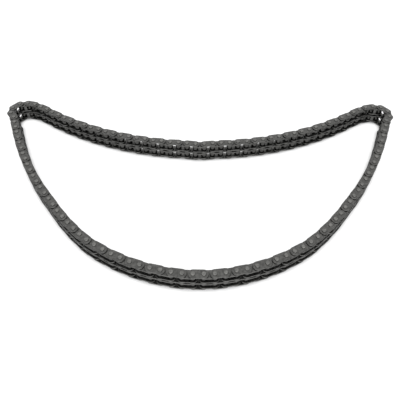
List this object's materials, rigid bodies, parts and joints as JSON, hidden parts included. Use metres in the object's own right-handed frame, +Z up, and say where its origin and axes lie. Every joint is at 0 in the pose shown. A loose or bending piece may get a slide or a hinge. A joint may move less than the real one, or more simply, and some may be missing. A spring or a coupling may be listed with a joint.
{
  "type": "timing chain",
  "caption": "Endless duplex roller timing chain lying on its side in a crescent loop, with plates, pins, bushes and rollers that turn at their pivots.",
  "frame": {"origin": "centre of the bounding box in plan, on the surface that the lower pin ends rest on", "axes": "+X runs along the length of the crescent to its right horn, +Y from the front strand to the back strand, and +Z up along the pins"},
  "size_m": [0.458, 0.2408, 0.0228],
  "materials": {
    "plate_steel": "dark oiled steel, satin",
    "pin_steel": "rivet steel, satin",
    "bush_steel": "hardened steel, dark",
    "roller_steel": "ground steel, semi-gloss"
  },
  "bodies": {
    "back_centre": {"back_centre": "plate_steel"},
    "right_back_bridge": {"right_back_bridge": "plate_steel"},
    "right_back_shoulder": {"right_back_shoulder": "plate_steel"},
    "right_back_spacer": {"right_back_spacer": "plate_steel"},
    "right_back_wing": {"right_back_wing": "plate_steel"},
    "right_horn_inside": {"right_horn_inside": "plate_steel"},
    "right_horn_tip": {"right_horn_tip": "plate_steel"},
    "right_horn_outside": {"right_horn_outside": "plate_steel"},
    "right_side_wing": {"right_side_wing": "plate_steel"},
    "right_side_spacer": {"right_side_spacer": "plate_steel"},
    "right_front_shoulder": {"right_front_shoulder": "plate_steel"},
    "right_front_bridge": {"right_front_bridge": "plate_steel"},
    "right_outer_link": {"right_outer_link_bottom_plate": "plate_steel", "right_outer_link_left_pin": "pin_steel", "right_outer_link_middle_plate": "plate_steel", "right_outer_link_right_pin": "pin_steel", "right_outer_link_top_plate": "plate_steel"},
    "right_inner_link": {"right_inner_link_lower_left_bush": "bush_steel", "right_inner_link_lower_middle_plate": "plate_steel", "right_inner_link_lower_outside_plate": "plate_steel", "right_inner_link_lower_right_bush": "bush_steel", "right_inner_link_upper_left_bush": "bush_steel", "right_inner_link_upper_middle_plate": "plate_steel", "right_inner_link_upper_outside_plate": "plate_steel", "right_inner_link_upper_right_bush": "bush_steel"},
    "front_outer_link": {"front_outer_link_bottom_plate": "plate_steel", "front_outer_link_left_pin": "pin_steel", "front_outer_link_middle_plate": "plate_steel", "front_outer_link_right_pin": "pin_steel", "front_outer_link_top_plate": "plate_steel"},
    "left_inner_link": {"left_inner_link_upper": "plate_steel", "left_inner_link_lower": "plate_steel"},
    "left_outer_link": {"left_outer_link": "plate_steel"},
    "left_front_bridge": {"left_front_bridge": "plate_steel"},
    "left_front_shoulder": {"left_front_shoulder": "plate_steel"},
    "left_side_spacer": {"left_side_spacer": "plate_steel"},
    "left_side_wing": {"left_side_wing": "plate_steel"},
    "left_horn_outside": {"left_horn_outside": "plate_steel"},
    "left_horn_tip": {"left_horn_tip": "plate_steel"},
    "left_horn_inside": {"left_horn_inside": "plate_steel"},
    "left_back_wing": {"left_back_wing": "plate_steel"},
    "left_back_spacer": {"left_back_spacer": "plate_steel"},
    "left_back_shoulder": {"left_back_shoulder": "plate_steel"},
    "left_back_bridge": {"left_back_bridge": "plate_steel"},
    "right_inner_link_lower_left_roller": {"right_inner_link_lower_left_roller": "roller_steel"},
    "right_inner_link_lower_right_roller": {"right_inner_link_lower_right_roller": "roller_steel"},
    "right_inner_link_upper_left_roller": {"right_inner_link_upper_left_roller": "roller_steel"},
    "right_inner_link_upper_right_roller": {"right_inner_link_upper_right_roller": "roller_steel"}
  },
  "joints": [
    {"name": "right_back_bridge_pivot", "type": "hinge", "parent": "back_centre", "child": "right_back_bridge", "pos_m": [0.01421, 0.04767, 0.0114], "axis": [0, 0, 1], "range_deg": [-20, 20]},
    {"name": "right_back_shoulder_pivot", "type": "hinge", "parent": "right_back_bridge", "child": "right_back_shoulder", "pos_m": [0.06135, 0.05369, 0.0114], "axis": [0, 0, 1], "range_deg": [-20, 20]},
    {"name": "right_back_spacer_pivot", "type": "hinge", "parent": "right_back_shoulder", "child": "right_back_spacer", "pos_m": [0.10737, 0.06554, 0.0114], "axis": [0, 0, 1], "range_deg": [-20, 20]},
    {"name": "right_back_wing_pivot", "type": "hinge", "parent": "right_back_spacer", "child": "right_back_wing", "pos_m": [0.13369, 0.07655, 0.0114], "axis": [0, 0, 1], "range_deg": [-20, 20]},
    {"name": "right_horn_inside_pivot", "type": "hinge", "parent": "right_back_wing", "child": "right_horn_inside", "pos_m": [0.17573, 0.09871, 0.0114], "axis": [0, 0, 1], "range_deg": [-20, 20]},
    {"name": "right_horn_tip_pivot", "type": "hinge", "parent": "right_horn_inside", "child": "right_horn_tip", "pos_m": [0.21868, 0.11424, 0.0114], "axis": [0, 0, 1], "range_deg": [-20, 20]},
    {"name": "right_horn_outside_pivot", "type": "hinge", "parent": "right_horn_tip", "child": "right_horn_outside", "pos_m": [0.21868, 0.08972, 0.0114], "axis": [0, 0, 1], "range_deg": [-20, 20]},
    {"name": "right_side_wing_pivot", "type": "hinge", "parent": "right_horn_outside", "child": "right_side_wing", "pos_m": [0.20785, 0.06328, 0.0114], "axis": [0, 0, 1], "range_deg": [-20, 20]},
    {"name": "right_side_spacer_pivot", "type": "hinge", "parent": "right_side_wing", "child": "right_side_spacer", "pos_m": [0.16581, -0.01122, 0.0114], "axis": [0, 0, 1], "range_deg": [-20, 20]},
    {"name": "right_front_shoulder_pivot", "type": "hinge", "parent": "right_side_spacer", "child": "right_front_shoulder", "pos_m": [0.14826, -0.03376, 0.0114], "axis": [0, 0, 1], "range_deg": [-20, 20]},
    {"name": "right_front_bridge_pivot", "type": "hinge", "parent": "right_front_shoulder", "child": "right_front_bridge", "pos_m": [0.10224, -0.08173, 0.0114], "axis": [0, 0, 1], "range_deg": [-20, 20]},
    {"name": "right_outer_link_pivot", "type": "hinge", "parent": "right_front_bridge", "child": "right_outer_link", "pos_m": [0.02372, -0.11418, 0.0114], "axis": [0, 0, 1], "range_deg": [-20, 20]},
    {"name": "right_inner_link_pivot", "type": "hinge", "parent": "right_outer_link", "child": "right_inner_link", "pos_m": [0.01428, -0.11542, 0.0114], "axis": [0, 0, 1], "range_deg": [-20, 20]},
    {"name": "front_outer_link_pivot", "type": "hinge", "parent": "right_inner_link", "child": "front_outer_link", "pos_m": [0.00476, -0.1159, 0.0114], "axis": [0, 0, 1], "range_deg": [-20, 20]},
    {"name": "left_back_bridge_pivot", "type": "hinge", "parent": "back_centre", "child": "left_back_bridge", "pos_m": [-0.01421, 0.04767, 0.0114], "axis": [0, 0, 1], "range_deg": [-20, 20]},
    {"name": "left_back_shoulder_pivot", "type": "hinge", "parent": "left_back_bridge", "child": "left_back_shoulder", "pos_m": [-0.06134, 0.05369, 0.0114], "axis": [0, 0, 1], "range_deg": [-20, 20]},
    {"name": "left_back_spacer_pivot", "type": "hinge", "parent": "left_back_shoulder", "child": "left_back_spacer", "pos_m": [-0.10737, 0.06554, 0.0114], "axis": [0, 0, 1], "range_deg": [-20, 20]},
    {"name": "left_back_wing_pivot", "type": "hinge", "parent": "left_back_spacer", "child": "left_back_wing", "pos_m": [-0.13369, 0.07655, 0.0114], "axis": [0, 0, 1], "range_deg": [-20, 20]},
    {"name": "left_horn_inside_pivot", "type": "hinge", "parent": "left_back_wing", "child": "left_horn_inside", "pos_m": [-0.17573, 0.09871, 0.0114], "axis": [0, 0, 1], "range_deg": [-20, 20]},
    {"name": "left_horn_tip_pivot", "type": "hinge", "parent": "left_horn_inside", "child": "left_horn_tip", "pos_m": [-0.21868, 0.11424, 0.0114], "axis": [0, 0, 1], "range_deg": [-20, 20]},
    {"name": "left_horn_outside_pivot", "type": "hinge", "parent": "left_horn_tip", "child": "left_horn_outside", "pos_m": [-0.21868, 0.08972, 0.0114], "axis": [0, 0, 1], "range_deg": [-20, 20]},
    {"name": "left_side_wing_pivot", "type": "hinge", "parent": "left_horn_outside", "child": "left_side_wing", "pos_m": [-0.20785, 0.06328, 0.0114], "axis": [0, 0, 1], "range_deg": [-20, 20]},
    {"name": "left_side_spacer_pivot", "type": "hinge", "parent": "left_side_wing", "child": "left_side_spacer", "pos_m": [-0.16581, -0.01122, 0.0114], "axis": [0, 0, 1], "range_deg": [-20, 20]},
    {"name": "left_front_shoulder_pivot", "type": "hinge", "parent": "left_side_spacer", "child": "left_front_shoulder", "pos_m": [-0.14826, -0.03376, 0.0114], "axis": [0, 0, 1], "range_deg": [-20, 20]},
    {"name": "left_front_bridge_pivot", "type": "hinge", "parent": "left_front_shoulder", "child": "left_front_bridge", "pos_m": [-0.10224, -0.08173, 0.0114], "axis": [0, 0, 1], "range_deg": [-20, 20]},
    {"name": "left_outer_link_pivot", "type": "hinge", "parent": "left_front_bridge", "child": "left_outer_link", "pos_m": [-0.02372, -0.11418, 0.0114], "axis": [0, 0, 1], "range_deg": [-20, 20]},
    {"name": "left_inner_link_pivot", "type": "hinge", "parent": "left_outer_link", "child": "left_inner_link", "pos_m": [-0.01428, -0.11542, 0.0114], "axis": [0, 0, 1], "range_deg": [-20, 20]},
    {"name": "right_inner_link_lower_left_roller_spin", "type": "hinge", "parent": "right_inner_link", "child": "right_inner_link_lower_left_roller", "pos_m": [0.00476, -0.1159, 0.0114], "axis": [0, 0, 1], "continuous": true},
    {"name": "right_inner_link_lower_right_roller_spin", "type": "hinge", "parent": "right_inner_link", "child": "right_inner_link_lower_right_roller", "pos_m": [0.01428, -0.11542, 0.0114], "axis": [0, 0, 1], "continuous": true},
    {"name": "right_inner_link_upper_left_roller_spin", "type": "hinge", "parent": "right_inner_link", "child": "right_inner_link_upper_left_roller", "pos_m": [0.00476, -0.1159, 0.0114], "axis": [0, 0, 1], "continuous": true},
    {"name": "right_inner_link_upper_right_roller_spin", "type": "hinge", "parent": "right_inner_link", "child": "right_inner_link_upper_right_roller", "pos_m": [0.01428, -0.11542, 0.0114], "axis": [0, 0, 1], "continuous": true}
  ],
  "couplings": [
    {"joint": "right_back_spacer_pivot", "follows": "right_back_shoulder_pivot", "ratio": -1},
    {"joint": "right_horn_inside_pivot", "follows": "right_back_wing_pivot", "ratio": -1},
    {"joint": "right_horn_outside_pivot", "follows": "right_horn_tip_pivot", "ratio": -1},
    {"joint": "right_side_wing_pivot", "follows": "right_back_wing_pivot", "ratio": 1},
    {"joint": "right_side_spacer_pivot", "follows": "right_back_wing_pivot", "ratio": -1},
    {"joint": "right_front_shoulder_pivot", "follows": "right_back_shoulder_pivot", "ratio": 1},
    {"joint": "right_front_bridge_pivot", "follows": "right_back_shoulder_pivot", "ratio": -1},
    {"joint": "right_outer_link_pivot", "follows": "right_back_bridge_pivot", "ratio": -1},
    {"joint": "right_inner_link_pivot", "follows": "right_back_bridge_pivot", "ratio": 1},
    {"joint": "front_outer_link_pivot", "follows": "right_back_bridge_pivot", "ratio": -1},
    {"joint": "left_back_bridge_pivot", "follows": "right_back_bridge_pivot", "ratio": 1},
    {"joint": "left_back_shoulder_pivot", "follows": "right_back_shoulder_pivot", "ratio": 1},
    {"joint": "left_back_spacer_pivot", "follows": "right_back_shoulder_pivot", "ratio": -1},
    {"joint": "left_back_wing_pivot", "follows": "right_back_wing_pivot", "ratio": 1},
    {"joint": "left_horn_inside_pivot", "follows": "right_back_wing_pivot", "ratio": -1},
    {"joint": "left_horn_tip_pivot", "follows": "right_horn_tip_pivot", "ratio": 1},
    {"joint": "left_horn_outside_pivot", "follows": "right_horn_tip_pivot", "ratio": -1},
    {"joint": "left_side_wing_pivot", "follows": "right_back_wing_pivot", "ratio": 1},
    {"joint": "left_side_spacer_pivot", "follows": "right_back_wing_pivot", "ratio": -1},
    {"joint": "left_front_shoulder_pivot", "follows": "right_back_shoulder_pivot", "ratio": 1},
    {"joint": "left_front_bridge_pivot", "follows": "right_back_shoulder_pivot", "ratio": -1},
    {"joint": "left_outer_link_pivot", "follows": "right_back_bridge_pivot", "ratio": -1},
    {"joint": "left_inner_link_pivot", "follows": "right_back_bridge_pivot", "ratio": 1}
  ]
}
